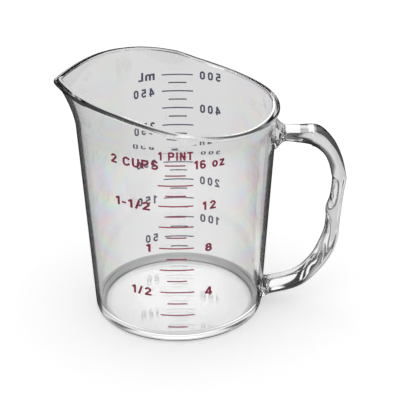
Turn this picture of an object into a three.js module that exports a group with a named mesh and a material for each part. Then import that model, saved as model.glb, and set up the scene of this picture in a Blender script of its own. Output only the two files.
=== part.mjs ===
// Clear one-pint measuring cup with a raised pouring lip, a finger-grip handle and two printed scales.
//
// Millimetres, +Z up. The origin is the middle of the flat underside. The handle points to +X and the
// pouring lip to -X. The ounce scale is on the -Y side and the millilitre scale on the +Y side.

import * as THREE from "three";

// Vessel wall and floor
const BASE_RADIUS = 39.7; // outer wall carried down to the table
const DRAFT = 0.0657; // radius that the wall gains for each millimetre of height
const WALL = 2.4;
const FLOOR = 2.4;
const HEEL_RADIUS = 2.7; // outer rounding between wall and underside
const INSIDE_CORNER_RADIUS = 4; // inner rounding between wall and floor

// Rim: low over the handle, rising in an S to the pouring side. Where it starts and stops rising along X
// is a share of the plain rim's radius.
const TOP_MARK_TO_RIM = 4.6; // from the highest mark up to the low part of the rim
const RIM_RISE = 13.1;
const RIM_RISE_START = 0.925;
const RIM_RISE_END = -0.882;
const RIM_EDGE_ROUNDING = 0.9;
const BEAD_HEIGHT = 1.7; // band round the outside of the rim
const BEAD_REACH = 0.3; // how far the band stands out from the wall
const LIP_TIP_DIP = 0.3; // how far the rim falls again at the very tip of the lip

// Pouring lip: what the rim stands out beyond the plain wall, by angle from the lip's tip
const LIP_REACH = 7.5;
const LIP_SPREAD = 18; // degrees in which the reach falls to about a third
const LIP_TIP_ROUNDING = 2.2; // degrees over which the tip is blunt
const LIP_CURL = 1.5; // how late the wall turns outward: 1 is straight
const LIP_START_DROP = 2.2; // from the low rim down to where the wall first leaves the plain cone
const LIP_CHANNEL_DROP = 6.5; // how much lower it leaves the cone under the tip
const LIP_CHANNEL_SPREAD = 22; // degrees

// Shoulders: the corners in the rim where the raised pouring half meets the handle half
const SHOULDER_REACH = 2;
const SHOULDER_ANGLE = 90; // degrees from the lip's tip
const SHOULDER_FRONT_SPREAD = 32; // degrees over which it builds up from the lip
const SHOULDER_BACK_SPREAD = 12; // degrees over which it falls away towards the handle

// The rim swells a little over the handle's upper foot
const SWELL_REACH = 0.6;
const SWELL_SPREAD = 22; // degrees

// Handle
const HANDLE_TOP_DROP = 12.9; // from the low rim down to the flat top of the upper arm
const HANDLE_FOOT = 4.9; // height of the lower arm's underside at the wall
const HANDLE_REACH = 35.6; // from the wall, halfway between the arms, to the grip's outermost point
const HANDLE_HALF_WIDTH = 6;
const HANDLE_DEPTH = 2.6; // thickness of its sides, where a station has the share 1
const HANDLE_CROWN = 4.6; // how far its inner face bulges between the sides there
const HANDLE_CORNER_RADIUS = 1.2;
const HANDLE_SEAT_GAP = 0.3; // between the handle's feet and the wall
const FOOT_SIDE_SPREAD = 1.3; // how far each foot widens where it meets the wall
const UPPER_FOOT_LENGTH = 5; // length over which the upper foot spreads
const UPPER_FOOT_RISE = 4.3; // spread above the arm
const UPPER_FOOT_DROP = 4.3; // spread below the arm
const LOWER_FOOT_LENGTH = 4;
const LOWER_FOOT_RISE = 3.5;
const LOWER_FOOT_DROP = 0.8;

// The handle's outer line from the upper foot round to the lower one. Each station has its place out
// from the wall and up from the foot, as shares of reach and span, then its share of depth and crown.
// The finger ridge is the thick station in the middle.
// The first and last stations lie on the wall itself, wherever that is at their height.
const HANDLE_STATIONS = [
  { out: "wall", up: 1.0, thick: 0.66 },
  { out: 0.36, up: 1.0, thick: 0.84 },
  { out: 0.64, up: 0.995, thick: 1.17 },
  { out: 0.82, up: 0.925, thick: 0.98 },
  { out: 0.925, up: 0.845, thick: 0.9 },
  { out: 1.0, up: 0.735, thick: 0.93 },
  { out: 0.98, up: 0.665, thick: 0.78 },
  { out: 0.958, up: 0.58, thick: 0.78 },
  { out: 0.944, up: 0.515, thick: 0.94 },
  { out: 0.932, up: 0.455, thick: 0.86 },
  { out: 0.92, up: 0.37, thick: 0.92 },
  { out: 0.85, up: 0.27, thick: 0.97 },
  { out: 0.68, up: 0.16, thick: 0.84 },
  { out: 0.43, up: 0.062, thick: 0.84 },
  { out: "wall", up: 0, thick: 0.86 },
];

// Printed scales
const OUNCE = 29573.5; // cubic millimetres
const MILLILITRE = 1000;
const OUNCE_MARKS = 16;
const MILLILITRE_MARKS = 20;
const MILLILITRES_PER_MARK = 25;
const LONG_MARK = 15.5;
const SHORT_MARK = 9;
const MARK_HEIGHT = 0.6;
const INK_THICKNESS = 0.15;
const INK_GAP = 0.05; // between the wall's true circle and the ink

// Fineness of the faces
const COLUMN_STEP = 5; // degrees between the wall's columns
const TIP_STEP = 1.25; // degrees between them at the lip's tip
const TIP_COLUMNS = 3; // extra columns each side of the tip
const ROUNDING_STEPS = 4;
const FLARE_STEPS = 6;
const HANDLE_STEPS = 60;
const FOOT_STEPS = 4;
const CROWN_STEPS = 6;
const MARK_STEPS = 4;
const RIM_LEANS = [0, 45, 90]; // degrees, from the wall over to the flat top of the rim

const DEGREE = Math.PI / 180;

// Heights that follow from the printed scale
const RIM_LOW = fillHeight(MILLILITRE_MARKS * MILLILITRES_PER_MARK * MILLILITRE) + TOP_MARK_TO_RIM;
const LIP_START = RIM_LOW - LIP_START_DROP;

// Colours and finishes
const CLEAR_PLASTIC = { color: 0xe6eaea, roughness: 0.06, metalness: 0, transparent: true, opacity: 0.35 };
const RED_INK = { color: 0xb02850, roughness: 0.45, metalness: 0 };
const BLUE_INK = { color: 0x4b4b82, roughness: 0.45, metalness: 0 };

// A vessel point is given by its angle from the lip's tip, in degrees, and its height.

function coneRadius(height) {
  return BASE_RADIUS + DRAFT * height;
}

function coneInside(height) {
  return coneRadius(height) - WALL * Math.hypot(1, DRAFT);
}

function turnFromTip(angle) {
  const turn = Math.abs(((angle % 360) + 360) % 360);
  return Math.min(turn, 360 - turn);
}

function lipOverhang(angle) {
  const turn = turnFromTip(angle);
  const blunt = Math.hypot(turn, LIP_TIP_ROUNDING) - LIP_TIP_ROUNDING;
  return LIP_REACH * Math.exp(-blunt / LIP_SPREAD);
}

function shoulderOverhang(angle) {
  const turn = turnFromTip(angle) - SHOULDER_ANGLE;
  const spread = turn < 0 ? SHOULDER_FRONT_SPREAD : SHOULDER_BACK_SPREAD;
  return SHOULDER_REACH * Math.max(0, 1 - Math.abs(turn) / spread);
}

function swellOverhang(angle) {
  const turn = (180 - turnFromTip(angle)) / SWELL_SPREAD;
  return SWELL_REACH * Math.exp(-(turn ** 2));
}

function rimOverhang(angle) {
  return lipOverhang(angle) + shoulderOverhang(angle) + swellOverhang(angle);
}

function rimHeight(angle) {
  const plain = coneRadius(RIM_LOW);
  const out = -Math.cos(turnFromTip(angle) * DEGREE) * (1 + rimOverhang(angle) / plain);
  const along = (RIM_RISE_START - out) / (RIM_RISE_START - RIM_RISE_END);
  const rise = (1 - Math.cos(Math.PI * THREE.MathUtils.clamp(along, 0, 1))) / 2;
  const tip = 1 + LIP_REACH / plain;
  const past = Math.max(0, (RIM_RISE_END - out) / (tip + RIM_RISE_END));
  return RIM_LOW + RIM_RISE * rise - LIP_TIP_DIP * past ** 2;
}

function flareStart(angle) {
  const turn = turnFromTip(angle) / LIP_CHANNEL_SPREAD;
  return LIP_START - LIP_CHANNEL_DROP * Math.exp(-(turn ** 2));
}

function outerRadius(angle, height) {
  const start = flareStart(angle);
  const share = THREE.MathUtils.clamp((height - start) / (rimHeight(angle) - start), 0, 1);
  return coneRadius(height) + rimOverhang(angle) * share ** LIP_CURL;
}

// The wall keeps its thickness square to its faces, also where the lip turns outward or narrows.
function innerRadius(angle, height) {
  const turn = 0.5;
  const rise = 0.2;
  const radius = outerRadius(angle, height);
  const ahead = outerRadius(angle + turn, height);
  const behind = outerRadius(angle - turn, height);
  const around = (ahead - behind) / (2 * turn * DEGREE);
  const upward = (radius - outerRadius(angle, height - rise)) / rise;
  return radius - WALL * Math.hypot(1, around / radius, upward);
}

// Each ring of the vessel is a function that gives radius and height at an angle.
function vesselRings() {
  const rings = [];
  const heelCentre = coneRadius(HEEL_RADIUS) - HEEL_RADIUS;
  for (let i = 0; i <= ROUNDING_STEPS; i++) {
    const a = (-90 + (90 * i) / ROUNDING_STEPS) * DEGREE;
    const radius = heelCentre + HEEL_RADIUS * Math.cos(a);
    const height = HEEL_RADIUS * (1 + Math.sin(a));
    rings.push(() => [radius, height]);
  }
  for (let i = 0; i <= FLARE_STEPS; i++) {
    rings.push((angle) => {
      const height = flareHeight(angle, i);
      return [outerRadius(angle, height), height];
    });
  }
  rings.push((angle) => [beadRadius(angle), rimHeight(angle) - BEAD_HEIGHT]);
  for (const lean of RIM_LEANS) {
    rings.push((angle) => rimEdge(beadRadius(angle), -1, lean, angle));
  }
  for (const lean of RIM_LEANS.toReversed()) {
    rings.push((angle) => rimEdge(innerRadius(angle, rimHeight(angle)), 1, lean, angle));
  }
  for (let i = FLARE_STEPS; i >= 0; i--) {
    rings.push((angle) => {
      const height = flareHeight(angle, i);
      return [innerRadius(angle, height), height];
    });
  }
  const cornerHeight = FLOOR + INSIDE_CORNER_RADIUS;
  for (let i = 0; i <= ROUNDING_STEPS; i++) {
    const a = ((90 * i) / ROUNDING_STEPS) * DEGREE;
    rings.push((angle) => {
      const centre = innerRadius(angle, cornerHeight) - INSIDE_CORNER_RADIUS;
      const radius = centre + INSIDE_CORNER_RADIUS * Math.cos(a);
      return [radius, cornerHeight - INSIDE_CORNER_RADIUS * Math.sin(a)];
    });
  }
  return rings;
}

function flareHeight(angle, step) {
  const start = flareStart(angle);
  const end = rimHeight(angle) - BEAD_HEIGHT - BEAD_REACH;
  return start + ((end - start) * step) / FLARE_STEPS;
}

function beadRadius(angle) {
  return outerRadius(angle, rimHeight(angle)) + BEAD_REACH;
}

function rimEdge(radius, inward, lean, angle) {
  const turn = lean * DEGREE;
  const across = inward * RIM_EDGE_ROUNDING * (1 - Math.cos(turn));
  return [radius + across, rimHeight(angle) - RIM_EDGE_ROUNDING * (1 - Math.sin(turn))];
}

function columnAngles() {
  const angles = new Set();
  for (let angle = 0; angle < 360; angle += COLUMN_STEP) {
    angles.add(angle);
  }
  for (let i = 1; i <= TIP_COLUMNS; i++) {
    angles.add(i * TIP_STEP);
    angles.add(360 - i * TIP_STEP);
  }
  return [...angles].sort((a, b) => a - b);
}

// A closed body from rings of points, each ring with the same count, and a middle point at each end.
function closedBody(rings, firstMiddle, lastMiddle) {
  const count = rings[0].length;
  const positions = [...rings.flat(2), ...firstMiddle, ...lastMiddle];
  const first = rings.length * count;
  const last = first + 1;
  const faces = [];
  for (let j = 0; j < count; j++) {
    const next = (j + 1) % count;
    faces.push(first, next, j);
    for (let i = 0; i + 1 < rings.length; i++) {
      const a = i * count + j;
      const b = i * count + next;
      faces.push(a, b, a + count, b, b + count, a + count);
    }
    const top = (rings.length - 1) * count;
    faces.push(top + j, top + next, last);
  }
  const geometry = new THREE.BufferGeometry();
  geometry.setAttribute("position", new THREE.Float32BufferAttribute(positions, 3));
  geometry.setIndex(faces);
  geometry.computeVertexNormals();
  return geometry;
}

function vesselPoint(angle, radius, height) {
  return [-radius * Math.cos(angle * DEGREE), -radius * Math.sin(angle * DEGREE), height];
}

function makeVessel() {
  const angles = columnAngles();
  const rings = vesselRings().map((ring) =>
    angles.map((angle) => vesselPoint(angle, ...ring(angle)))
  );
  return closedBody(rings, [0, 0, 0], [0, 0, FLOOR]);
}

// The handle's outer line, and the depth and crown of its section at each place along that line
function handleLine() {
  const top = RIM_LOW - HANDLE_TOP_DROP;
  const middleWall = coneRadius((top + HANDLE_FOOT) / 2);
  const place = ({ out, up }) => {
    const height = HANDLE_FOOT + up * (top - HANDLE_FOOT);
    const x = out === "wall" ? coneRadius(height) : middleWall + out * HANDLE_REACH;
    return new THREE.Vector3(x, 0, height);
  };
  const shape = ({ thick }, i) => new THREE.Vector3(i, thick * HANDLE_DEPTH, thick * HANDLE_CROWN);
  return {
    line: new THREE.CatmullRomCurve3(HANDLE_STATIONS.map(place), false, "centripetal"),
    section: new THREE.CatmullRomCurve3(HANDLE_STATIONS.map(shape), false, "catmullrom", 0.5),
  };
}

function seatRadius(height, y) {
  return Math.sqrt((coneRadius(height) + HANDLE_SEAT_GAP) ** 2 - y ** 2);
}

// One section: the flat outer face, rounded corners, sides and the crown that faces the fingers.
// In a foot it is wider to each side, and spread outward and inward.
function handleSection(depth, crown, side, outward, inward) {
  const half = HANDLE_HALF_WIDTH + side;
  const round = HANDLE_CORNER_RADIUS;
  const corner = round * (1 - Math.SQRT1_2);
  const points = [
    [half, round - outward],
    [half - corner, corner - outward],
    [half - round, -outward],
    [-half + round, -outward],
    [-half + corner, corner - outward],
    [-half, round - outward],
  ];
  for (let i = 0; i <= CROWN_STEPS; i++) {
    const a = (Math.PI * i) / CROWN_STEPS;
    points.push([-half * Math.cos(a), depth + inward + crown * Math.sin(a)]);
  }
  return points;
}

// Distances along the handle where it has a ring, closer together in the two feet
function handleRingPlaces(length) {
  const places = [];
  for (let i = 0; i < FOOT_STEPS; i++) {
    places.push((UPPER_FOOT_LENGTH * i) / FOOT_STEPS);
    places.push(length - (LOWER_FOOT_LENGTH * i) / FOOT_STEPS);
  }
  const middle = length - UPPER_FOOT_LENGTH - LOWER_FOOT_LENGTH;
  for (let i = 0; i <= HANDLE_STEPS; i++) {
    places.push(UPPER_FOOT_LENGTH + (middle * i) / HANDLE_STEPS);
  }
  return places.sort((a, b) => a - b);
}

// How much of a foot's spread applies at a distance from the wall
function footShare(distance, footLength) {
  return Math.max(0, 1 - distance / footLength) ** 2;
}

function makeHandle() {
  const { line, section } = handleLine();
  const length = line.getLength();
  const rings = handleRingPlaces(length).map((place) => {
    const t = line.getUtoTmapping(place / length);
    const middle = line.getPoint(t);
    const along = line.getTangent(t);
    const inward = new THREE.Vector3(along.z, 0, -along.x);
    const { y: depth, z: crown } = section.getPoint(t);
    const upper = footShare(place, UPPER_FOOT_LENGTH);
    const lower = footShare(length - place, LOWER_FOOT_LENGTH);
    const outward = upper * UPPER_FOOT_RISE + lower * LOWER_FOOT_DROP;
    const inside = upper * UPPER_FOOT_DROP + lower * LOWER_FOOT_RISE;
    const side = (upper + lower) * FOOT_SIDE_SPREAD;
    const seated = place === 0 || place === length;
    return handleSection(depth, crown, side, outward, inside).map(([y, into]) => {
      const point = middle.clone().addScaledVector(inward, into);
      return [seated ? seatRadius(point.z, y) : point.x, y, point.z];
    });
  });
  const seatMiddle = (ring) => {
    const height = (ring[2][2] + ring[ring.length - 1 - CROWN_STEPS / 2][2]) / 2;
    return [seatRadius(height, 0), 0, height];
  };
  return closedBody(rings, seatMiddle(rings[0]), seatMiddle(rings[rings.length - 1]));
}

// Height of the surface of a volume of liquid: the cone between floor and surface, less the corner rounding
function fillHeight(volume) {
  const innerFoot = coneInside(FLOOR);
  const cornerArea = (1 - Math.PI / 4) * INSIDE_CORNER_RADIUS ** 2;
  const cornerLoss = 2 * Math.PI * innerFoot * cornerArea;
  const cube = innerFoot ** 3 + (3 * DRAFT * (volume + cornerLoss)) / Math.PI;
  return FLOOR + (Math.cbrt(cube) - innerFoot) / DRAFT;
}

// A printed mark: a thin strip that follows the wall, centred on the front or the rear
function makeMark(height, length, facing) {
  const rings = [];
  const sweep = length / coneRadius(height);
  for (let i = 0; i <= MARK_STEPS; i++) {
    const a = (facing * Math.PI) / 2 + sweep * (i / MARK_STEPS - 0.5);
    const ring = [];
    for (const [up, out] of [[1, 0], [1, 1], [-1, 1], [-1, 0]]) {
      const z = height + (up * MARK_HEIGHT) / 2;
      const radius = coneRadius(z) + INK_GAP + out * INK_THICKNESS;
      ring.push([radius * Math.cos(a), radius * Math.sin(a), z]);
    }
    rings.push(ring);
  }
  const middleOf = (ring) => [0, 1, 2].map((axis) => (ring[0][axis] + ring[2][axis]) / 2);
  return closedBody(rings, middleOf(rings[0]), middleOf(rings[MARK_STEPS]));
}

function named(name, geometry, look) {
  const mesh = new THREE.Mesh(geometry, new THREE.MeshStandardMaterial(look));
  mesh.name = name;
  return mesh;
}

function ounceMarks() {
  const marks = new THREE.Group();
  for (let ounces = 1; ounces <= OUNCE_MARKS; ounces++) {
    const long = ounces % 2 === 0 && ounces < OUNCE_MARKS;
    const geometry = makeMark(fillHeight(ounces * OUNCE), long ? LONG_MARK : SHORT_MARK, -1);
    marks.add(named(`ounce_mark_${String(ounces).padStart(2, "0")}`, geometry, RED_INK));
  }
  return marks;
}

function millilitreMarks() {
  const marks = new THREE.Group();
  for (let i = 1; i <= MILLILITRE_MARKS; i++) {
    const volume = i * MILLILITRES_PER_MARK;
    const geometry = makeMark(fillHeight(volume * MILLILITRE), i % 2 === 0 ? LONG_MARK : SHORT_MARK, 1);
    marks.add(named(`millilitre_mark_${String(volume).padStart(3, "0")}`, geometry, BLUE_INK));
  }
  return marks;
}

const cup = new THREE.Group();
cup.add(named("cup_body", makeVessel(), CLEAR_PLASTIC));
cup.add(named("handle", makeHandle(), CLEAR_PLASTIC));
cup.add(ounceMarks());
cup.add(millilitreMarks());

export default cup;
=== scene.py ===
import math

import bmesh
import bpy
import numpy as np
from mathutils import Matrix, Vector, geometry


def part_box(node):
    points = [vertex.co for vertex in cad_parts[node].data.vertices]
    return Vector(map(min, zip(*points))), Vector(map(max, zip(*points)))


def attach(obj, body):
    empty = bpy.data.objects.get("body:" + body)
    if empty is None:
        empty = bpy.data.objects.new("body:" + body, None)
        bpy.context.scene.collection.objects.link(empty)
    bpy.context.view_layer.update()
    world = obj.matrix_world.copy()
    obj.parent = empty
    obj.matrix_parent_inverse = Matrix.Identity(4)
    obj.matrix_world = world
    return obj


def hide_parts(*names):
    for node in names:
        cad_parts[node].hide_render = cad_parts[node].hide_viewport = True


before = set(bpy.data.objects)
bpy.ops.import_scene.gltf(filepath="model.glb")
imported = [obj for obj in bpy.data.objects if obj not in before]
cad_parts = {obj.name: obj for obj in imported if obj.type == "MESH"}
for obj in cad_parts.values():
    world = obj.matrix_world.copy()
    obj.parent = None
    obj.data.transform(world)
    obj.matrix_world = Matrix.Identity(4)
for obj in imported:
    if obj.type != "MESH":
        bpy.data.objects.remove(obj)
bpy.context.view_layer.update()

MM = 0.001
DEG = math.pi / 180


# Camera: directions, then place, sensor and lens in millimetres, and how far it sees in metres

CAMERA_RIGHT = (0.99997623, -0.00203733, -0.00658634)
CAMERA_UP = (0.00678569, 0.45971696, 0.88803956)
CAMERA_PLACE = (11.468, -649.236, 390.049)
SENSOR_WIDTH = 36
FOCAL_LENGTH = 140.12
CAMERA_SIGHT = 50


def make_camera():
    right, up = Vector(CAMERA_RIGHT), Vector(CAMERA_UP)
    turn = Matrix((right, up, right.cross(up))).transposed()
    data = bpy.data.cameras.new("camera")
    data.sensor_width = SENSOR_WIDTH
    data.lens = FOCAL_LENGTH
    data.clip_end = CAMERA_SIGHT
    camera = bpy.data.objects.new("camera", data)
    camera.matrix_world = Matrix.Translation(Vector(CAMERA_PLACE) * MM) @ turn.to_4x4()
    bpy.context.scene.collection.objects.link(camera)
    bpy.context.scene.camera = camera


make_camera()


# Sizes in millimetres and degrees, as the solids have them where both have them

BASE_RADIUS = 39.7
DRAFT = 0.0657
WALL = 2.4
FLOOR = 2.4
HEEL_RADIUS = 2.7
INSIDE_CORNER_RADIUS = 4
TOP_MARK_TO_RIM = 4.6
RIM_RISE = 13.1
# Where the rim's rise from the handle to the lip starts and ends, as shares of the plain radius
RIM_RISE_START = 0.925
RIM_RISE_END = -0.882
RIM_EDGE_ROUNDING = 0.9
RIM_INNER_ROUNDING = 0.3
# How far the top of the rim falls outward
RIM_LEAN = 0.35
# Painted highlight: a white strip that lets little light through, along the inner edge of the rim:
# width, faces across it, and the least share of the way to the front at which it shows
HIGHLIGHT_STRIP_WIDTH = 0.9
HIGHLIGHT_STRIP_FACES = 5
HIGHLIGHT_STRIP_END = -0.05
# The wall gets thicker towards the rim
RIM_BAND = 0.45
RIM_BAND_DROP = 4.5
RIM_BAND_LENGTH = 4
BEAD_HEIGHT = 1.7
BEAD_REACH = 0.3
LIP_TIP_DIP = 0.3
LIP_REACH = 7.5
LIP_SPREAD = 18
LIP_TIP_ROUNDING = 2.2
LIP_CURL = 1.5
LIP_EASE = 0.05
LIP_START_DROP = 2.2
LIP_CHANNEL_DROP = 6.5
LIP_CHANNEL_SPREAD = 22
SHOULDER_REACH = 2
SHOULDER_ANGLE = 90
SHOULDER_FRONT_SPREAD = 32
SHOULDER_BACK_SPREAD = 12
SWELL_REACH = 0.6
SWELL_SPREAD = 22

HANDLE_TOP_DROP = 12.9
HANDLE_FOOT = 4.9
HANDLE_REACH = 35.6
HANDLE_HALF_WIDTH = 6
HANDLE_DEPTH = 2.6
HANDLE_CROWN = 4.6
HANDLE_CORNER_RADIUS = 1.2
HANDLE_SEAT_GAP = 0.06
FOOT_SIDE_SPREAD = 1.3
UPPER_FOOT_LENGTH = 5
UPPER_FOOT_RISE = 4.3
UPPER_FOOT_DROP = 4.3
LOWER_FOOT_LENGTH = 4
LOWER_FOOT_RISE = 3.5
LOWER_FOOT_DROP = 0.8
# Out from the wall and up from the foot as shares of reach and span, then the share of depth
# and crown
HANDLE_STATIONS = [
    ("wall", 1.0, 0.66),
    (0.36, 1.0, 0.84),
    (0.64, 0.995, 1.17),
    (0.82, 0.925, 0.98),
    (0.925, 0.845, 0.9),
    (1.0, 0.735, 0.93),
    (0.98, 0.665, 0.78),
    (0.958, 0.58, 0.78),
    (0.944, 0.515, 0.94),
    (0.932, 0.455, 0.86),
    (0.92, 0.37, 0.92),
    (0.85, 0.27, 0.97),
    (0.68, 0.16, 0.84),
    (0.43, 0.062, 0.84),
    ("wall", 0.0, 0.86),
]

INK_THICKNESS = 0.15
INK_GAP = 0.05

# Degrees and millimetres over which the slope of the wall is taken, and the share of its length
# over which that of the handle is taken
SLOPE_TURN, SLOPE_RISE = 0.5, 0.2
HANDLE_SLOPE_STEP = 1e-4

# Division of the curved faces: degrees, shares, radii and counts
COLUMN_STEP = 1.0
TIP_STEP = 0.25
TIP_COLUMNS_END = 4
UNDERSIDE_RADII = (8, 16, 24, 32)
FLOOR_RADII = (32.5, 31, 24, 16, 8)
CORNER_STEPS = 12
RIM_ROUNDING_STEPS = 7
FLARE_STEPS = 24
WALL_SHARES = [0.002, 0.008, 0.02, *np.linspace(0.05, 0.95, 19), 0.98, 0.995]
HANDLE_STEPS = 300
HANDLE_CORNER_STEPS = 6
HANDLE_BACK_STEPS = 6
HANDLE_SIDE_STEPS = 4
HANDLE_CROWN_STEPS = 24
HANDLE_CAP_SHARES = (0.75, 0.5, 0.25)
SMOOTH_BELOW = 35


# Shape of the vessel: radius at an angle from the lip's tip, in degrees, and a height

def mark_height(node):
    low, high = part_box(node)
    return (low.z + high.z) / 2 / MM


RIM_LOW = mark_height("millilitre_mark_500") + TOP_MARK_TO_RIM


def cone_radius(height):
    return BASE_RADIUS + DRAFT * height


def turn_from_tip(angle):
    turn = np.mod(angle, 360)
    return np.minimum(turn, 360 - turn)


def rim_overhang(angle):
    turn = turn_from_tip(angle)
    blunt = np.hypot(turn, LIP_TIP_ROUNDING) - LIP_TIP_ROUNDING
    lip = LIP_REACH * np.exp(-blunt / LIP_SPREAD)
    side = turn - SHOULDER_ANGLE
    spread = np.where(side < 0, SHOULDER_FRONT_SPREAD, SHOULDER_BACK_SPREAD)
    shoulder = SHOULDER_REACH * np.maximum(0, 1 - np.abs(side) / spread)
    swell = SWELL_REACH * np.exp(-(((180 - turn) / SWELL_SPREAD) ** 2))
    return lip + shoulder + swell


def rim_height(angle):
    plain = cone_radius(RIM_LOW)
    out = -np.cos(turn_from_tip(angle) * DEG) * (1 + rim_overhang(angle) / plain)
    along = (RIM_RISE_START - out) / (RIM_RISE_START - RIM_RISE_END)
    rise = (1 - np.cos(np.pi * np.clip(along, 0, 1))) / 2
    tip = 1 + LIP_REACH / plain
    past = np.maximum(0, (RIM_RISE_END - out) / (tip + RIM_RISE_END))
    return RIM_LOW + RIM_RISE * rise - LIP_TIP_DIP * past**2


def flare_start(angle):
    turn = turn_from_tip(angle) / LIP_CHANNEL_SPREAD
    return RIM_LOW - LIP_START_DROP - LIP_CHANNEL_DROP * np.exp(-(turn**2))


def outer_radius(angle, height):
    start = flare_start(angle)
    share = np.clip((height - start) / (rim_height(angle) - start), 0, 1)
    eased = share**2 * ((1 + LIP_EASE) / (share + LIP_EASE)) ** (2 - LIP_CURL)
    return cone_radius(height) + rim_overhang(angle) * eased


def inner_radius(angle, height):
    radius = outer_radius(angle, height)
    ahead = outer_radius(angle + SLOPE_TURN, height)
    behind = outer_radius(angle - SLOPE_TURN, height)
    around = (ahead - behind) / (2 * SLOPE_TURN * DEG)
    upward = (radius - outer_radius(angle, height - SLOPE_RISE)) / SLOPE_RISE
    band = np.clip((height - (RIM_LOW - RIM_BAND_DROP)) / RIM_BAND_LENGTH, 0, 1)
    return radius - WALL * np.hypot(np.hypot(1, around / radius), upward) - RIM_BAND * band


def column_angles():
    coarse = np.arange(0, 360, COLUMN_STEP)
    fine = np.arange(TIP_STEP, TIP_COLUMNS_END, TIP_STEP)
    return np.unique(np.concatenate([coarse, fine, 360 - fine]))


def vessel_rings(angle):
    """Rings of (radius, height) from the middle of the underside round the rim to the middle of the
    floor, and where the painted highlight strip and the inside start among them
    """
    flat = np.ones_like(angle)
    start, rim = flare_start(angle), rim_height(angle)
    rings = [(radius * flat, 0 * flat) for radius in UNDERSIDE_RADII]

    heel_centre = cone_radius(HEEL_RADIUS) - HEEL_RADIUS
    for a in np.linspace(-90, 0, CORNER_STEPS + 1) * DEG:
        radius = heel_centre + HEEL_RADIUS * np.cos(a)
        rings.append((radius * flat, HEEL_RADIUS * (1 + np.sin(a)) * flat))
    for share in WALL_SHARES:
        height = HEEL_RADIUS + (start - HEEL_RADIUS) * share
        rings.append((cone_radius(height), height))
    flare_top = rim - BEAD_HEIGHT - BEAD_REACH
    flare_shares = np.linspace(0, 1, FLARE_STEPS + 1)
    flare_heights = [start + (flare_top - start) * share for share in flare_shares]
    rings += [(outer_radius(angle, height), height) for height in flare_heights]

    bead = outer_radius(angle, rim) + BEAD_REACH
    rings.append((bead, rim - BEAD_HEIGHT))
    for a in np.linspace(0, 90, RIM_ROUNDING_STEPS + 1) * DEG:
        height = rim - RIM_LEAN - RIM_EDGE_ROUNDING * (1 - np.sin(a))
        rings.append((bead - RIM_EDGE_ROUNDING * (1 - np.cos(a)), height))
    inside = inner_radius(angle, rim)
    flat_outer = bead - RIM_EDGE_ROUNDING
    flat_inner = inside + RIM_INNER_ROUNDING
    # Where the painted highlight strip starts
    highlight_start = len(rings)
    rings.append((flat_inner + HIGHLIGHT_STRIP_WIDTH, rim - RIM_LEAN * HIGHLIGHT_STRIP_WIDTH / (flat_outer - flat_inner)))
    for a in np.linspace(90, 0, RIM_ROUNDING_STEPS + 1) * DEG:
        height = rim - RIM_INNER_ROUNDING * (1 - np.sin(a))
        rings.append((inside + RIM_INNER_ROUNDING * (1 - np.cos(a)), height))

    inside_start = len(rings)
    rings += [(inner_radius(angle, height), height) for height in reversed(flare_heights)]
    corner_height = FLOOR + INSIDE_CORNER_RADIUS
    for share in reversed(WALL_SHARES):
        height = corner_height + (start - corner_height) * share
        rings.append((inner_radius(angle, height), height))
    centre = inner_radius(angle, corner_height * flat) - INSIDE_CORNER_RADIUS
    for a in np.linspace(0, 90, CORNER_STEPS + 1) * DEG:
        height = corner_height - INSIDE_CORNER_RADIUS * np.sin(a) * flat
        rings.append((centre + INSIDE_CORNER_RADIUS * np.cos(a), height))
    rings += [(radius * flat, FLOOR * flat) for radius in FLOOR_RADII]
    return rings, highlight_start, inside_start


def closed_mesh(name, rings, first_middle, last_middle):
    """A closed mesh from rings of points with the same count, and a middle point at each end"""
    count = len(rings[0])
    points = np.concatenate([*rings, [first_middle], [last_middle]]) * MM
    first = len(rings) * count
    faces = []
    for j in range(count):
        k = (j + 1) % count
        faces.append((first, k, j))
        for low in range(0, first - count, count):
            high = low + count
            faces.append((low + j, low + k, high + k, high + j))
        top = first - count
        faces.append((top + j, top + k, first + 1))
    mesh = bpy.data.meshes.new(name)
    mesh.from_pydata([tuple(p) for p in points], [], faces)
    mesh.validate()
    return mesh


def add_piece(name, mesh, material):
    piece = bpy.data.objects.new(name, mesh)
    bpy.context.scene.collection.objects.link(piece)
    mesh.materials.clear()
    mesh.materials.append(material)
    mesh.shade_smooth()
    mesh.set_sharp_from_angle(angle=SMOOTH_BELOW * DEG)
    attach(piece, "root")
    return piece


# Materials

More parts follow.
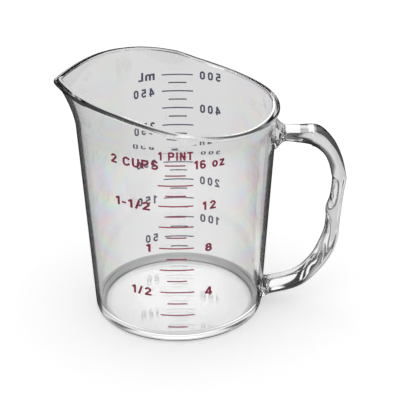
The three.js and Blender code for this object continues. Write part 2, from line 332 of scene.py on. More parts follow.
class Graph:
    """The nodes of a material or of the world"""

    def __init__(self, tree):
        self.nodes, self.links = tree.nodes, tree.links

    def add(self, kind):
        return self.nodes.new("ShaderNode" + kind)

    def feed(self, socket, value):
        """Give a socket another socket, three numbers or one number"""
        if isinstance(value, tuple):
            socket.default_value = (*value, 1)
        elif isinstance(value, (int, float)):
            socket.default_value = value
        else:
            self.links.new(value, socket)

    def axes(self, place):
        node = self.add("SeparateXYZ")
        self.feed(node.inputs[0], place)
        return node.outputs

    def math(self, operation, first, second=0):
        node = self.add("Math")
        node.operation = operation
        self.feed(node.inputs[0], first)
        self.feed(node.inputs[1], second)
        return node.outputs[0]

    def times(self, first, second):
        return self.math("MULTIPLY", first, second)

    def most(self, first, second):
        return self.math("MAXIMUM", first, second)

    def length(self, place):
        node = self.add("VectorMath")
        node.operation = "LENGTH"
        self.feed(node.inputs[0], place)
        return node.outputs["Value"]

    def scaled(self, value, low, high, start=0, end=1):
        """From start to end as the value goes from low to high"""
        node = self.add("MapRange")
        ends = {"From Min": low, "From Max": high, "To Min": start, "To Max": end}
        for name, number in ends.items():
            node.inputs[name].default_value = number
        self.feed(node.inputs["Value"], value)
        return node.outputs["Result"]

    def ramp(self, value, stops):
        """Colours at places from 0 to 1"""
        node = self.add("ValToRGB")
        elements = node.color_ramp.elements
        elements.remove(elements[-1])
        elements[0].position, elements[0].color = stops[0][0], (*stops[0][1], 1)
        for position, colour in stops[1:]:
            elements.new(position).color = (*colour, 1)
        self.feed(node.inputs["Fac"], value)
        return node.outputs["Color"]

    def levels(self, value, stops, full=1):
        """Greys at places from 0 to 1, as shares of the full level"""
        return self.ramp(value, [(position, grey(level / full)) for position, level in stops])

    def blend(self, share, first, second, kind="MIX"):
        node = self.add("Mix")
        node.data_type = "RGBA"
        node.blend_type = kind
        for name, value in (("Factor", share), ("A", first), ("B", second)):
            self.feed(node.inputs[name], value)
        return node.outputs["Result"]

    def noise(self, place, scale, detail):
        node = self.add("TexNoise")
        node.inputs["Scale"].default_value = scale
        node.inputs["Detail"].default_value = detail
        self.feed(node.inputs["Vector"], place)
        return node.outputs["Fac"]


def grey(v):
    return (v, v, v)


def new_material(name):
    material = bpy.data.materials.new(name)
    material.use_nodes = True
    graph = Graph(material.node_tree)
    return material, graph, graph.nodes["Principled BSDF"]


REFRACTIVE_INDEX = 1.585
# Smudges of touch: scale and detail of the noise, the part of it that counts, and roughness
SMUDGE_SCALE, SMUDGE_DETAIL = 25, 3
SMUDGE_START, SMUDGE_FULL = 0.35, 0.75
SMUDGE_ROUGHNESS = 0.003

# Painted shade towards the plastic's outline: share turned away, and level
CUP_EDGE_SHADE = [(0, 0.98), (0.5, 0.96), (0.6, 0.92), (0.7, 0.78), (0.74, 0.03), (1, 0.005)]
INSIDE_EDGE_SHADE = [(0, 0.98), (0.5, 0.96), (0.65, 0.92), (0.75, 0.75), (1, 0.55)]
HANDLE_EDGE_SHADE = [(0, 0.98), (0.56, 0.95), (0.66, 0.4), (0.75, 0.05), (1, 0.02)]
# The painted highlight strip: a white that doesn't darken, and how much light it lets through
HIGHLIGHT_STRIP_LEVELS = [(0, 1), (1, 1)]
HIGHLIGHT_STRIP_TRANSMISSION = 0.05

# Shifts of that painted shade. Places are in metres, and each pair is where a share starts and is
# full. On the right wall it comes a little sooner.
EDGE_SOONER = 0.01
RIGHT_ACROSS = (0.02, 0.04)
# It comes later at the upper foot, in the middle of the heel and at the lower arm
EDGE_LATER = 0.35
UPPER_FOOT_ACROSS, UPPER_FOOT_UP = (0.03, 0.036), (0.085, 0.094)
HEEL_MIDDLE, HEEL_BESIDE, HEEL_UP = 0.004, (0.027, 0.017), (0.005, 0.003)
LOWER_ARM_ACROSS, LOWER_ARM_UP = ((0.042, 0.046), (0.06, 0.052)), (0.034, 0.022)
# It comes much sooner at the outside and the underside of the handle's upper bend
BEND_SOONER = 0.4
BEND_ACROSS, BEND_UP = (0.061, 0.065), (0.066, 0.074)
BEND_UNDER_ACROSS, BEND_UNDER_UP = (0.05, 0.056), (0.088, 0.085)

# Painted light: the plastic glows by place, standing in for light that has bounced on for a long
# way within it, and only rays that have bounced off gloss more than three times see it: place
# across the cup, and level, in the floor and the lower arm and above them
GUIDED_BOUNCES = 3.5
GUIDED_LEFT, GUIDED_RIGHT = -0.06, 0.08
LOW_LIGHT = [
    (-0.06, 0.3), (-0.034, 0.4), (-0.02, 0.9), (0.024, 0.9), (0.038, 0.4), (0.045, 0.2),
    (0.08, 0.2),
]
HIGH_LIGHT = [
    (-0.06, 0.025), (-0.02, 0.035), (-0.012, 0.12), (-0.001, 0.5), (0.006, 0.5), (0.016, 0.2),
    (0.026, 0.06), (0.043, 0.06), (0.047, 0.6), (0.05, 0.3), (0.06, 0.1), (0.08, 0.1),
]
HIGH_LIGHT_UP = (0.015, 0.03)
# Its share on the rear half, and where the front half starts
GUIDED_AT_BACK = 0.1
GUIDED_FRONT = (0.005, -0.005)
# On the rear half of the cup's floor it lies in strips: height, distance from the middle, and
# share by the part of the way to the rear
BASE_UP, BASE_OUT = (0.012, 0.006), (0.038, 0.032)
BASE_REAR = 0.05
BASE_STRIPS = [(0, 0.9), (0.1, 0.9), (0.16, 0.1), (0.4, 0.1), (0.46, 0.85), (1, 0.85)]

# Faint colours of the stress in moulded plastic: share of one turn of hues, and colour
STRESS_HUES = [
    (0, (1, 0.9, 0.94)), (0.2, (0.94, 0.92, 1)), (0.4, (0.88, 0.98, 1)),
    (0.6, (0.9, 1, 0.92)), (0.8, (1, 0.98, 0.88)), (1, (1, 0.9, 0.94)),
]
# Height in metres of one turn, and how noise bends it
STRESS_TURN = 0.02
STRESS_SCALE, STRESS_DETAIL, STRESS_WANDER = 70, 2, 2.5
# How strong they are across the cup and up it: the metres from its middle and from the table
# where the shares end, and level by share
STRESS_SIDE, STRESS_TOP = 0.05, 0.11
STRESS_ACROSS = [
    (0, 0), (0.07, 0), (0.12, 1), (0.2, 1), (0.26, 0.1), (0.5, 0), (0.74, 0.1), (0.82, 1),
    (0.9, 1), (0.95, 0),
]
STRESS_UP = [(0, 0), (0.22, 0), (0.34, 1), (0.68, 1), (0.82, 0.5), (0.95, 0.4), (1, 0.2)]


def stress_mask(graph, x, z):
    across = graph.levels(graph.scaled(x, -STRESS_SIDE, STRESS_SIDE), STRESS_ACROSS)
    return graph.times(across, graph.levels(graph.scaled(z, 0, STRESS_TOP), STRESS_UP))


def stress_colour(graph, place, z):
    wander = graph.noise(place, STRESS_SCALE, STRESS_DETAIL)
    turns = graph.math("DIVIDE", z, STRESS_TURN)
    turns = graph.math("ADD", turns, graph.times(wander, STRESS_WANDER))
    return graph.ramp(graph.math("FRACT", turns), STRESS_HUES)


def edge_shade_shift(graph, x, z):
    """How much sooner the painted shade darkens the plastic towards its outline; later is below
    zero
    """
    sooner = graph.scaled(x, *RIGHT_ACROSS, end=EDGE_SOONER)
    foot = graph.times(graph.scaled(x, *UPPER_FOOT_ACROSS), graph.scaled(z, *UPPER_FOOT_UP))
    beside = graph.math("ABSOLUTE", graph.math("ADD", x, -HEEL_MIDDLE))
    heel = graph.times(graph.scaled(z, *HEEL_UP), graph.scaled(beside, *HEEL_BESIDE))
    arm = graph.scaled(z, *LOWER_ARM_UP)
    for ends in LOWER_ARM_ACROSS:
        arm = graph.times(arm, graph.scaled(x, *ends))
    pale = graph.most(graph.most(foot, heel), arm)
    under = graph.times(graph.scaled(x, *BEND_UNDER_ACROSS), graph.scaled(z, *BEND_UNDER_UP))
    bend = graph.most(under, graph.scaled(x, *BEND_ACROSS))
    bend = graph.times(bend, graph.scaled(z, *BEND_UP))
    later = graph.times(pale, -EDGE_LATER)
    return graph.math("ADD", sooner, graph.math("ADD", later, graph.times(bend, BEND_SOONER)))


def painted_guided_light(graph, place, x, y, z):
    bounces = graph.add("LightPath").outputs["Glossy Depth"]
    across = graph.scaled(x, GUIDED_LEFT, GUIDED_RIGHT)
    width = GUIDED_RIGHT - GUIDED_LEFT
    low, high = (
        graph.levels(across, [((place_x - GUIDED_LEFT) / width, light) for place_x, light in stops])
        for stops in (LOW_LIGHT, HIGH_LIGHT)
    )
    level = graph.blend(graph.scaled(z, *HIGH_LIGHT_UP), low, high)
    front = graph.scaled(y, *GUIDED_FRONT, start=GUIDED_AT_BACK)
    flat = graph.add("VectorMath")
    flat.operation = "MULTIPLY"
    flat.inputs[1].default_value = (1, 1, 0)
    graph.feed(flat.inputs[0], place)
    out = graph.length(flat.outputs[0])
    base = graph.times(graph.scaled(z, *BASE_UP), graph.scaled(out, *BASE_OUT))
    base = graph.times(base, graph.levels(graph.scaled(y, 0, BASE_REAR), BASE_STRIPS))
    light = graph.times(graph.math("GREATER_THAN", bounces, GUIDED_BOUNCES), level)
    return graph.times(light, graph.most(front, base))


def clear_plastic(name, edge_shade_levels, transmission=1):
    material, graph, shader = new_material(name)
    shader.inputs["Transmission Weight"].default_value = transmission
    shader.inputs["IOR"].default_value = REFRACTIVE_INDEX
    place = graph.add("TexCoord").outputs["Object"]
    x, y, z = graph.axes(place)
    facing = graph.add("LayerWeight").outputs["Facing"]
    # Painted shade: the colour darkens towards the outline, sooner or later by place
    edge = graph.levels(graph.math("ADD", facing, edge_shade_shift(graph, x, z)), edge_shade_levels)
    stress = stress_colour(graph, place, z)
    colour = graph.blend(stress_mask(graph, x, z), edge, stress, "MULTIPLY")
    graph.feed(shader.inputs["Base Color"], colour)
    smudge = graph.noise(place, SMUDGE_SCALE, SMUDGE_DETAIL)
    rough = graph.scaled(smudge, SMUDGE_START, SMUDGE_FULL, end=SMUDGE_ROUGHNESS)
    graph.feed(shader.inputs["Roughness"], rough)
    # Painted light: a glow by place, for rays with many glossy bounces
    graph.feed(shader.inputs["Emission Strength"], painted_guided_light(graph, place, x, y, z))
    material.cycles.emission_sampling = "NONE"
    return material


# Speckle of the ink: scale and detail of the noise, places of its two tones, roughness, and
# strength and depth in metres of its bumps
SPECKLE_SCALE, SPECKLE_DETAIL = 900, 4
SPECKLE_DARK, SPECKLE_LIGHT = 0.3, 0.7
INK_ROUGHNESS = (0.4, 0.6)
INK_BUMP, INK_BUMP_DEPTH = 0.1, 0.00005


def ink(name, dark, light):
    material, graph, shader = new_material(name)
    place = graph.add("TexCoord").outputs["Object"]
    speckle = graph.noise(place, SPECKLE_SCALE, SPECKLE_DETAIL)
    tone = graph.ramp(speckle, [(SPECKLE_DARK, dark), (SPECKLE_LIGHT, light)])
    graph.feed(shader.inputs["Base Color"], tone)
    graph.feed(shader.inputs["Roughness"], graph.scaled(speckle, 0, 1, *INK_ROUGHNESS))
    bump = graph.add("Bump")
    bump.inputs["Strength"].default_value = INK_BUMP
    bump.inputs["Distance"].default_value = INK_BUMP_DEPTH
    graph.feed(bump.inputs["Height"], speckle)
    graph.feed(shader.inputs["Normal"], bump.outputs["Normal"])
    return material


CUP_CLEAR = clear_plastic("cup_clear", CUP_EDGE_SHADE)
CUP_INSIDE = clear_plastic("cup_inside", INSIDE_EDGE_SHADE)
HANDLE_CLEAR = clear_plastic("handle_clear", HANDLE_EDGE_SHADE)
RIM_HIGHLIGHT = clear_plastic("rim_highlight", HIGHLIGHT_STRIP_LEVELS, HIGHLIGHT_STRIP_TRANSMISSION)
RED_INK = ink("red_ink", (0.27, 0.014, 0.05), (0.36, 0.03, 0.08))
BLUE_INK = ink("blue_ink", (0.045, 0.05, 0.3), (0.07, 0.08, 0.4))
# The marks are printed more thinly than the figures
RED_MARK = ink("red_mark", (0.38, 0.06, 0.11), (0.48, 0.09, 0.15))
BLUE_MARK = ink("blue_mark", (0.11, 0.12, 0.38), (0.15, 0.16, 0.48))


# The cup

def make_cup():
    angle = column_angles()
    profile, highlight_start, inside_start = vessel_rings(angle)
    away, front = -np.cos(angle * DEG), np.sin(angle * DEG)
    rings = [
        np.stack([radius * away, -radius * front, height], axis=1) for radius, height in profile
    ]
    mesh = closed_mesh("cup", rings, (0, 0, 0), (0, 0, FLOOR))
    piece = add_piece("cup", mesh, CUP_CLEAR)
    mesh.materials.append(RIM_HIGHLIGHT)
    mesh.materials.append(CUP_INSIDE)
    per_column = len(rings) + 1
    for j in range(len(angle)):
        first = j * per_column + 1
        for i in range(inside_start, len(rings)):
            mesh.polygons[first + i].material_index = 2
        # Painted highlight: the white strip is put on the front part of the rim only
        if front[j] > HIGHLIGHT_STRIP_END:
            for i in range(highlight_start, highlight_start + HIGHLIGHT_STRIP_FACES):
                mesh.polygons[first + i].material_index = 1
    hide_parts("cup_body")


# The handle

def cubic(t0, t1, p1, p2, w):
    """Hermite curve from p1 to p2 with slopes t0 and t1"""
    c2 = -3 * p1 + 3 * p2 - 2 * t0 - t1
    c3 = 2 * p1 - 2 * p2 + t0 + t1
    return p1 + t0 * w + c2 * w**2 + c3 * w**3


def spline(points, share, centripetal):
    """The place at a share of the way along a smooth curve through the points"""
    points = np.asarray(points, float)
    before, after = 2 * points[0] - points[1], 2 * points[-1] - points[-2]
    padded = np.concatenate([[before], points, [after]])
    place = share * (len(points) - 1)
    i = min(int(place), len(points) - 2)
    w = place - i
    p0, p1, p2, p3 = padded[i:i + 4]
    if not centripetal:
        return cubic((p2 - p0) / 2, (p3 - p1) / 2, p1, p2, w)
    d0, d1, d2 = (np.linalg.norm(b - a) ** 0.5 for a, b in ((p0, p1), (p1, p2), (p2, p3)))
    t0 = ((p1 - p0) / d0 - (p2 - p0) / (d0 + d1) + (p2 - p1) / d1) * d1
    t1 = ((p2 - p1) / d1 - (p3 - p1) / (d1 + d2) + (p3 - p2) / d2) * d1
    return cubic(t0, t1, p1, p2, w)


def seat_radius(height, y):
    """How far out the handle's foot meets the wall"""
    return math.sqrt((cone_radius(height) + HANDLE_SEAT_GAP) ** 2 - y**2)


def handle_section(depth, crown, side, outward, inward):
    """Points of (y, distance inward) round one section"""
    half = HANDLE_HALF_WIDTH + side
    full = depth + inward
    r = HANDLE_CORNER_RADIUS
    corner = [
        (half - r * (1 - math.cos(a)), r * (1 - math.sin(a)) - outward)
        for a in np.linspace(0, 90, HANDLE_CORNER_STEPS + 1) * DEG
    ]
    back = np.linspace(half - r, r - half, HANDLE_BACK_STEPS + 1)[1:-1]
    sides = np.linspace(r - outward, full, HANDLE_SIDE_STEPS + 1)[1:-1]
    points = corner + [(y, -outward) for y in back]
    points += [(-y, into) for y, into in reversed(corner)]
    points += [(-half, into) for into in sides]
    for a in np.linspace(0, 180, HANDLE_CROWN_STEPS + 1) * DEG:
        points.append((-half * math.cos(a), full + crown * math.sin(a)))
    return points + [(half, into) for into in reversed(sides)]


def foot_share(distance, length):
    """How far the foot has spread at a distance along the handle"""
    return max(0.0, 1 - distance / length) ** 2


def foot_cap(ring):
    """Smaller and smaller rings that close the foot on the wall's curve, and its middle point"""
    middle = (ring[:, 2].min() + ring[:, 2].max()) / 2
    cap = []
    for share in HANDLE_CAP_SHARES:
        sides, heights = ring[:, 1] * share, middle + (ring[:, 2] - middle) * share
        cap.append(np.array([(seat_radius(z, y), y, z) for y, z in zip(sides, heights)]))
    return cap, (seat_radius(middle, 0), 0, middle)


def make_handle():
    top = RIM_LOW - HANDLE_TOP_DROP
    middle_wall = cone_radius((top + HANDLE_FOOT) / 2)
    line, section = [], []
    for out, up, thick in HANDLE_STATIONS:
        height = HANDLE_FOOT + up * (top - HANDLE_FOOT)
        reach = cone_radius(height) if out == "wall" else middle_wall + out * HANDLE_REACH
        line.append((reach, height))
        section.append((thick * HANDLE_DEPTH, thick * HANDLE_CROWN))
    shares = np.linspace(0, 1, HANDLE_STEPS + 1)
    path = np.array([spline(line, share, True) for share in shares])
    steps = np.linalg.norm(np.diff(path, axis=0), axis=1)
    length = np.concatenate([[0], np.cumsum(steps)])
    rings = []
    for i, share in enumerate(shares):
        ahead = spline(line, min(share + HANDLE_SLOPE_STEP, 1), True)
        along = ahead - spline(line, max(share - HANDLE_SLOPE_STEP, 0), True)
        along /= np.linalg.norm(along)
        depth, crown = spline(section, share, False)
        upper = foot_share(length[i], UPPER_FOOT_LENGTH)
        lower = foot_share(length[-1] - length[i], LOWER_FOOT_LENGTH)
        side = (upper + lower) * FOOT_SIDE_SPREAD
        outward = upper * UPPER_FOOT_RISE + lower * LOWER_FOOT_DROP
        inward = upper * UPPER_FOOT_DROP + lower * LOWER_FOOT_RISE
        ring = []
        for y, into in handle_section(depth, crown, side, outward, inward):
            x = path[i][0] + along[1] * into
            z = path[i][1] - along[0] * into
            if i in (0, HANDLE_STEPS):
                x = seat_radius(z, y)
            ring.append((x, y, z))
        rings.append(np.array(ring))
    upper_cap, upper_middle = foot_cap(rings[0])
    lower_cap, lower_middle = foot_cap(rings[-1])
    all_rings = upper_cap[::-1] + rings + lower_cap
    mesh = closed_mesh("handle", all_rings, upper_middle, lower_middle)
    piece = add_piece("grip_handle", mesh, HANDLE_CLEAR)
    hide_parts("handle")


# Numbers and words of the scales: the mark they stand at, left and right end round the wall from
# the scale's middle, baseline below the mark, height of a capital. Left and right are the
# reader's.

LEFT, RIGHT = (-22.1, -11.2), (11.4, 22.3)
FRONT_LABELS = [
    ("1 PINT", "ounce_mark_16", (-7.3, 7.8), -2.65, 4.1),
    ("2 CUPS", "ounce_mark_16", (-30.1, -7.3), 2.3, 4.5),
    ("16 oz", "ounce_mark_16", (8.2, 22.2), 2.2, 4.3),
    ("1-1/2", "ounce_mark_12", (-28.6, -11.5), 2.7, 4.3),
    ("12", "ounce_mark_12", (11.8, 18.0), 2.7, 4.3),
    ("1", "ounce_mark_08", (-13.9, -11.7), 2.4, 4.1),
    ("8", "ounce_mark_08", (12.9, 16.2), 2.6, 4.2),
    ("1/2", "ounce_mark_04", (-21.6, -11.9), 2.6, 4.4),
    ("4", "ounce_mark_04", (12.7, 16.1), 2.8, 4.5),
]
REAR_LABELS = [
    ("500", "millilitre_mark_500", LEFT, 2.1, 4.3),
    ("mL", "millilitre_mark_500", (11.2, 19.7), 2.3, 4.5),
    ("450", "millilitre_mark_450", RIGHT, 2.2, 4.3),
    ("400", "millilitre_mark_400", LEFT, 2.2, 4.3),
    ("350", "millilitre_mark_350", RIGHT, 2.2, 4.3),
    ("300", "millilitre_mark_300", LEFT, 2.2, 4.3),
    ("250", "millilitre_mark_250", RIGHT, 2.2, 4.3),
    ("200", "millilitre_mark_200", LEFT, 2.2, 4.3),
    ("150", "millilitre_mark_150", RIGHT, 2.2, 4.3),
    ("100", "millilitre_mark_100", LEFT, 2.2, 4.3),
    ("50", "millilitre_mark_050", (11.3, 18.2), 2.0, 4.3),
]


ARC_STEP = 15


def arc(x, y, across, up, start, end):
    steps = max(2, math.ceil(abs(end - start) / ARC_STEP))
    angles = np.linspace(start, end, steps + 1) * DEG
    return [(x + across * math.cos(a), y + up * math.sin(a)) for a in angles]


# Letters in shares of the height of a capital: how wide a stroke is, then each letter's width
# and the middle lines of its strokes
STROKE = 0.2
GLYPHS = {
    "0": (0.6, [
        arc(0.3, 0.69, 0.2, 0.21, 0, 180) + arc(0.3, 0.31, 0.2, 0.21, 180, 360) + [(0.5, 0.69)],
    ]),
    "1": (0.42, [[(0.3, 0), (0.3, 1)], [(0.04, 0.74), (0.14, 0.77), (0.26, 0.92)]]),
    "2": (0.6, [arc(0.3, 0.69, 0.2, 0.21, 180, -35) + [(0.1, 0.14)], [(0, 0.1), (0.6, 0.1)]]),
    "3": (0.6, [arc(0.29, 0.71, 0.19, 0.19, 165, -90), arc(0.29, 0.31, 0.21, 0.21, 90, -165)]),
    "4": (0.62, [[(0.44, 0), (0.44, 1)], [(0.42, 0.98), (0.06, 0.34)], [(0, 0.3), (0.62, 0.3)]]),
    "5": (0.6, [
        [(0.54, 0.9), (0.08, 0.9)],
        [(0.14, 1), (0.11, 0.46)],
        arc(0.29, 0.33, 0.21, 0.23, 140, -160),
    ]),
    "6": (0.6, [
        arc(0.3, 0.32, 0.2, 0.22, 0, 360),
        [(0.1, 0.32)] + arc(0.3, 0.69, 0.2, 0.21, 180, 25),
    ]),
    "8": (0.6, [arc(0.3, 0.71, 0.17, 0.19, 0, 360), arc(0.3, 0.31, 0.2, 0.21, 0, 360)]),
    "-": (0.36, [[(0, 0.42), (0.36, 0.42)]]),
    "/": (0.44, [[(0.08, 0), (0.36, 1)]]),
    "P": (0.68, [
        [(0.1, 0), (0.1, 1)],
        [(0.1, 0.9)] + arc(0.38, 0.68, 0.2, 0.22, 90, -90) + [(0.1, 0.46)],
    ]),
    "I": (0.2, [[(0.1, 0), (0.1, 1)]]),
    "N": (0.62, [[(0.1, 0), (0.1, 1)], [(0.1, 0.98), (0.52, 0.02)], [(0.52, 0), (0.52, 1)]]),
    "T": (0.6, [[(0, 0.9), (0.6, 0.9)], [(0.3, 0.9), (0.3, 0)]]),
    "C": (0.74, [arc(0.37, 0.64, 0.27, 0.26, 10, 180) + arc(0.37, 0.36, 0.27, 0.26, 180, 350)]),
    "U": (0.7, [[(0.1, 1)] + arc(0.35, 0.34, 0.25, 0.24, 180, 360) + [(0.6, 1)]]),
    "S": (0.66, [arc(0.33, 0.7, 0.22, 0.2, 15, 270) + arc(0.33, 0.3, 0.23, 0.2, 90, -165)[1:]]),
    "o": (0.6, [arc(0.3, 0.4, 0.2, 0.3, 0, 360)]),
    "z": (0.54, [[(0.02, 0.7), (0.52, 0.7)], [(0.46, 0.7), (0.08, 0.1)], [(0, 0.1), (0.54, 0.1)]]),
    "m": (0.92, [
        [(0.1, 0), (0.1, 0.77)],
        arc(0.28, 0.5, 0.18, 0.17, 180, 0) + [(0.46, 0)],
        arc(0.64, 0.5, 0.18, 0.17, 180, 0) + [(0.82, 0)],
    ]),
    "L": (0.5, [[(0.1, 1), (0.1, 0)], [(0, 0.1), (0.5, 0.1)]]),
    " ": (0.28, []),
}
DIGIT_GAP = 0.34
LETTER_GAP = 0.18
# Strokes closer than this are joined
JOIN_DISTANCE = 1e-5
# Width in millimetres of the strips that let a label bend round the wall, and how close a cut
# may come to a corner
LABEL_STRIP = 1.0
CUT_DISTANCE = 1e-6


def thick_stroke(points):
    """Four-sided faces that give a line its width"""
    points = np.array(points, float)
    along = np.diff(points, axis=0)
    along /= np.linalg.norm(along, axis=1)[:, None]
    closed = np.allclose(points[0], points[-1])
    before = np.concatenate([along[-1:] if closed else along[:1], along])
    after = np.concatenate([along, along[:1] if closed else along[-1:]])
    side = before + after
    side /= np.linalg.norm(side, axis=1)[:, None]
    side /= np.sum(side * after, axis=1)[:, None]
    side = np.stack([-side[:, 1], side[:, 0]], axis=1) * STROKE / 2
    left, right = points + side, points - side
    return [(right[i], right[i + 1], left[i + 1], left[i]) for i in range(len(points) - 1)]


def glyph_mesh(text):
    """A flat mesh of the text, its strokes joined, in shares of the height of a capital"""
    corners, faces, start = [], [], 0
    for letter in text:
        width, strokes = GLYPHS[letter]
        for stroke in strokes:
            for face in thick_stroke(stroke):
                faces.append(list(range(len(corners), len(corners) + 4)))
                corners += [Vector((start + x, y)) for x, y in face]
        start += width + (DIGIT_GAP if letter.isdigit() and text.isdigit() else LETTER_GAP)
    joined = geometry.delaunay_2d_cdt(corners, [], faces, 0, JOIN_DISTANCE)
    points, pieces, sources = joined[0], joined[2], joined[5]
    kept = [piece for piece, source in zip(pieces, sources) if source]
    mesh = bpy.data.meshes.new("glyphs")
    mesh.from_pydata([(x, y, 0) for x, y in points], [], kept)
    return mesh


def make_label(text, node, ends, drop, height, front):
    mesh = glyph_mesh(text)
    bm = bmesh.new()
    bm.from_mesh(mesh)
    loose = [v for v in bm.verts if not v.link_faces]
    bmesh.ops.delete(bm, geom=loose, context="VERTS")
    across = [v.co.x for v in bm.verts]
    widen = (ends[1] - ends[0]) / (max(across) - min(across))
    base = mark_height(node) - drop
    for v in bm.verts:
        v.co.x = ends[0] + (v.co.x - min(across)) * widen
        v.co.y = base + v.co.y * height
    for x in np.arange(math.ceil(ends[0]), ends[1], LABEL_STRIP):
        whole = bm.verts[:] + bm.edges[:] + bm.faces[:]
        bmesh.ops.bisect_plane(
            bm, geom=whole, plane_co=(x, 0, 0), plane_no=(1, 0, 0), dist=CUT_DISTANCE
        )
    top = bmesh.ops.extrude_face_region(bm, geom=bm.faces[:])["geom"]
    raised = {v for v in top if isinstance(v, bmesh.types.BMVert)}
    middle = -math.pi / 2 if front else math.pi / 2
    for v in bm.verts:
        plain = cone_radius(v.co.y)
        a = middle + v.co.x / plain
        radius = plain + INK_GAP + (INK_THICKNESS if v in raised else 0)
        v.co = Vector((radius * math.cos(a), radius * math.sin(a), v.co.y)) * MM
    bmesh.ops.recalc_face_normals(bm, faces=bm.faces)
    bm.to_mesh(mesh)
    bm.free()
    clean = text.replace(" ", "_").replace("/", "_over_").replace("-", "_and_")
    mesh.name = clean
    if front:
        add_piece("ounce_label_" + clean, mesh, RED_INK)
    else:
        add_piece("millilitre_label_" + clean, mesh, BLUE_INK)


make_cup()
make_handle()
for label in FRONT_LABELS:
    make_label(*label, True)
for label in REAR_LABELS:
    make_label(*label, False)
for name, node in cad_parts.items():
    if "mark" in name:
        node.data.materials.clear()
        node.data.materials.append(RED_MARK if name.startswith("ounce") else BLUE_MARK)


# Stage

FLOOR_SIZE = 6
FLOOR_DROP = 0.0002
FLOOR_COLOUR = 0.8
# What the camera sees of the floor is lifted to white
FLOOR_GLOW = 0.45
# The floor's levels below are kept as shares of this one
FLOOR_FULL = 2
# What clear plastic shows of the floor, with a painted shadow ring round the heel: distance from
# the middle as a share of 200 mm, and level
FLOOR_REACH = 0.2
FLOOR_LEVELS = [
    (0, 0.72), (0.1775, 0.72), (0.1825, 0.4), (0.23, 0.4), (0.235, 0.83), (0.75, 0.83),
    (0.9, 0.72), (1, 0.72),
]
# The near half of the painted shadow ring is pale, because the heel shows it
NEAR_HALF = (-0.005, -0.025)
NEAR_LEVELS = [
    (0, 0.6), (0.18, 0.66), (0.235, 0.9), (0.25, 0.83), (0.75, 0.83), (0.9, 0.72), (1, 0.72),
]
# Between these places across, the handle shows the floor with painted shade and painted light in
# bands: where that starts and where it ends again, then near and far place, share of the way
# between them, and level
HANDLE_SIDE, HANDLE_SIDE_END = (0.044, 0.056), (0.12, 0.08)
HANDLE_NEAR, HANDLE_FAR = -0.1, 0.2
HANDLE_LEVELS = [
    (0, 0.72), (0.1, 0.6), (0.2, 0.3), (0.31, 0.3), (0.36, 1), (0.52, 1), (0.58, 0.6),
    (0.9, 0.6), (1, 0.72),
]
# Level of the floor in gloss, with painted shade except near the front: near and far place, level
# at each, and where across only the far level is left
GLOSS_NEAR, GLOSS_FAR = -0.06, -0.045
GLOSS_NEAR_LEVEL, GLOSS_FAR_LEVEL = 0.8, 0.035
GLOSS_WIDE = (0.04, 0.15)

# Level of the surroundings for all other rays, and the level that theirs below are shares of
SKY_LEVEL = 0.8
SKY_FULL = 5
# Level of the surroundings by the upward share of the direction
SKY_THROUGH = [(0, 0.8), (0.1, 0.4), (0.2, 0.04), (0.9, 0.04), (1, 0.3)]
SKY_IN_GLOSS = [(0, 0.04), (0.8, 0.04), (0.9, 2), (1, 2)]
# A softbox to the right: levels through plastic and in gloss, and where it lies by the sideways
# and upward shares of the direction
SOFTBOX_LEVELS = 1, 4.5
SOFTBOX_REACH = 0.25
SOFTBOX_ACROSS = [(0, 0), (0.14, 0), (0.2, 1), (0.55, 1), (0.62, 0)]
SOFTBOX_UP = [(0, 0), (0.28, 0), (0.32, 1), (0.6, 1), (0.65, 0)]
# A bright band in the middle, which the cup's floor mirrors. It and what follows are seen
# through plastic only, and their pairs are the shares where they start and are full.
BAND_LEVEL = 2.8
BAND_ACROSS = (0.22, 0.16)
BAND_UP = [(0, 0), (0.46, 0), (0.475, 1), (0.56, 1), (0.58, 0)]
# Bright slats far to the left
SLATS_LEVEL = 1.3
SLATS_ACROSS = (-0.45, -0.52)
SLATS_UP = [
    (0, 0), (0.2, 0), (0.22, 1), (0.26, 1), (0.28, 0), (0.33, 0), (0.35, 1), (0.39, 1),
    (0.41, 0),
]
# A pale screen behind on the left
SCREEN_LEVEL = 1.3
SCREEN_ACROSS, SCREEN_BACK, SCREEN_UP = (-0.1, -0.16), (0.4, 0.5), (0.54, 0.58)


def pick_level(graph, path, plain, through, gloss):
    """The level that a ray sees: through clear plastic, off gloss, or else plain"""
    level = plain
    for ray, seen in (("Is Glossy Ray", gloss), ("Is Transmission Ray", through)):
        level = graph.blend(path.outputs[ray], level, seen)
    return level


def floor_through_plastic(graph, place, x, y):
    share = graph.math("DIVIDE", graph.length(place), FLOOR_REACH)
    far = graph.levels(share, FLOOR_LEVELS, FLOOR_FULL)
    near = graph.levels(share, NEAR_LEVELS, FLOOR_FULL)
    cup = graph.blend(graph.scaled(y, *NEAR_HALF), far, near)
    along = graph.scaled(y, HANDLE_NEAR, HANDLE_FAR)
    handle = graph.levels(along, HANDLE_LEVELS, FLOOR_FULL)
    side = graph.times(graph.scaled(x, *HANDLE_SIDE), graph.scaled(x, *HANDLE_SIDE_END))
    return graph.blend(side, cup, handle)


def floor_in_gloss(graph, x, y):
    ends = [(0, GLOSS_NEAR_LEVEL), (1, GLOSS_FAR_LEVEL)]
    level = graph.levels(graph.scaled(y, GLOSS_NEAR, GLOSS_FAR), ends, FLOOR_FULL)
    wide = graph.scaled(graph.math("ABSOLUTE", x), *GLOSS_WIDE)
    return graph.blend(wide, level, grey(GLOSS_FAR_LEVEL / FLOOR_FULL))


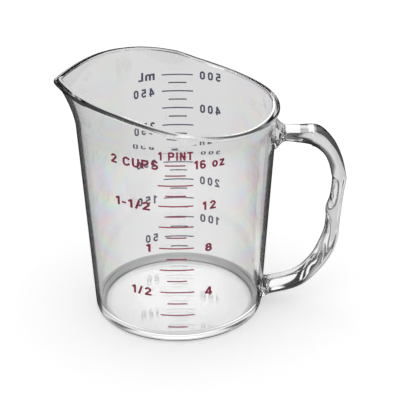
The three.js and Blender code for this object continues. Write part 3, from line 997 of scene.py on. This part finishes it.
def make_floor():
    mesh = bpy.data.meshes.new("floor")
    corners = [(x * FLOOR_SIZE, y * FLOOR_SIZE, 0) for x, y in ((-1, -1), (1, -1), (1, 1), (-1, 1))]
    mesh.from_pydata(corners, [], [(0, 1, 2, 3)])
    floor = bpy.data.objects.new("floor", mesh)
    floor.location.z = -FLOOR_DROP
    bpy.context.scene.collection.objects.link(floor)
    material, graph, shader = new_material("floor")
    graph.nodes.remove(shader)
    path = graph.add("LightPath")
    place = graph.add("TexCoord").outputs["Object"]
    x, y, _ = graph.axes(place)

    diffuse = graph.add("BsdfDiffuse")
    graph.feed(diffuse.inputs["Color"], grey(FLOOR_COLOUR))
    glow = graph.add("Emission")
    graph.feed(glow.inputs["Strength"], graph.times(path.outputs["Is Camera Ray"], FLOOR_GLOW))
    plain = graph.add("AddShader")
    graph.feed(plain.inputs[0], diffuse.outputs[0])
    graph.feed(plain.inputs[1], glow.outputs[0])

    # The floor as clear plastic and gloss show it carries the painted shadow ring, painted shade
    # and painted light
    through, gloss = floor_through_plastic(graph, place, x, y), floor_in_gloss(graph, x, y)
    seen = graph.add("Emission")
    seen.inputs["Strength"].default_value = FLOOR_FULL
    graph.feed(seen.inputs["Color"], pick_level(graph, path, grey(1), through, gloss))
    mix = graph.add("MixShader")
    shiny = graph.most(path.outputs["Is Glossy Ray"], path.outputs["Is Transmission Ray"])
    graph.feed(mix.inputs["Fac"], shiny)
    graph.feed(mix.inputs[1], plain.outputs[0])
    graph.feed(mix.inputs[2], seen.outputs[0])
    graph.feed(graph.nodes["Material Output"].inputs["Surface"], mix.outputs[0])
    mesh.materials.append(material)


def make_world():
    world = bpy.data.worlds.new("world")
    bpy.context.scene.world = world
    world.use_nodes = True
    graph = Graph(world.node_tree)
    x, y, z = graph.axes(graph.add("TexCoord").outputs["Generated"])
    softbox = graph.levels(graph.scaled(x, 0, SOFTBOX_REACH), SOFTBOX_ACROSS)
    softbox = graph.times(softbox, graph.levels(z, SOFTBOX_UP))
    through, gloss = (
        graph.most(graph.levels(z, stops, SKY_FULL), graph.times(softbox, level / SKY_FULL))
        for stops, level in zip((SKY_THROUGH, SKY_IN_GLOSS), SOFTBOX_LEVELS)
    )
    beside = graph.math("ABSOLUTE", x)
    band = graph.times(graph.levels(z, BAND_UP), graph.scaled(beside, *BAND_ACROSS))
    slats = graph.times(graph.levels(z, SLATS_UP), graph.scaled(x, *SLATS_ACROSS))
    screen = graph.times(graph.scaled(x, *SCREEN_ACROSS), graph.scaled(y, *SCREEN_BACK))
    screen = graph.times(screen, graph.scaled(z, *SCREEN_UP))
    for shape, level in ((band, BAND_LEVEL), (slats, SLATS_LEVEL), (screen, SCREEN_LEVEL)):
        through = graph.most(through, graph.times(shape, level / SKY_FULL))
    path = graph.add("LightPath")
    background = graph.nodes["Background"]
    seen = pick_level(graph, path, grey(1 / SKY_FULL), through, gloss)
    graph.feed(background.inputs["Color"], seen)
    background.inputs["Strength"].default_value = SKY_LEVEL * SKY_FULL


make_floor()
make_world()

bpy.context.scene.view_settings.view_transform = "Standard"
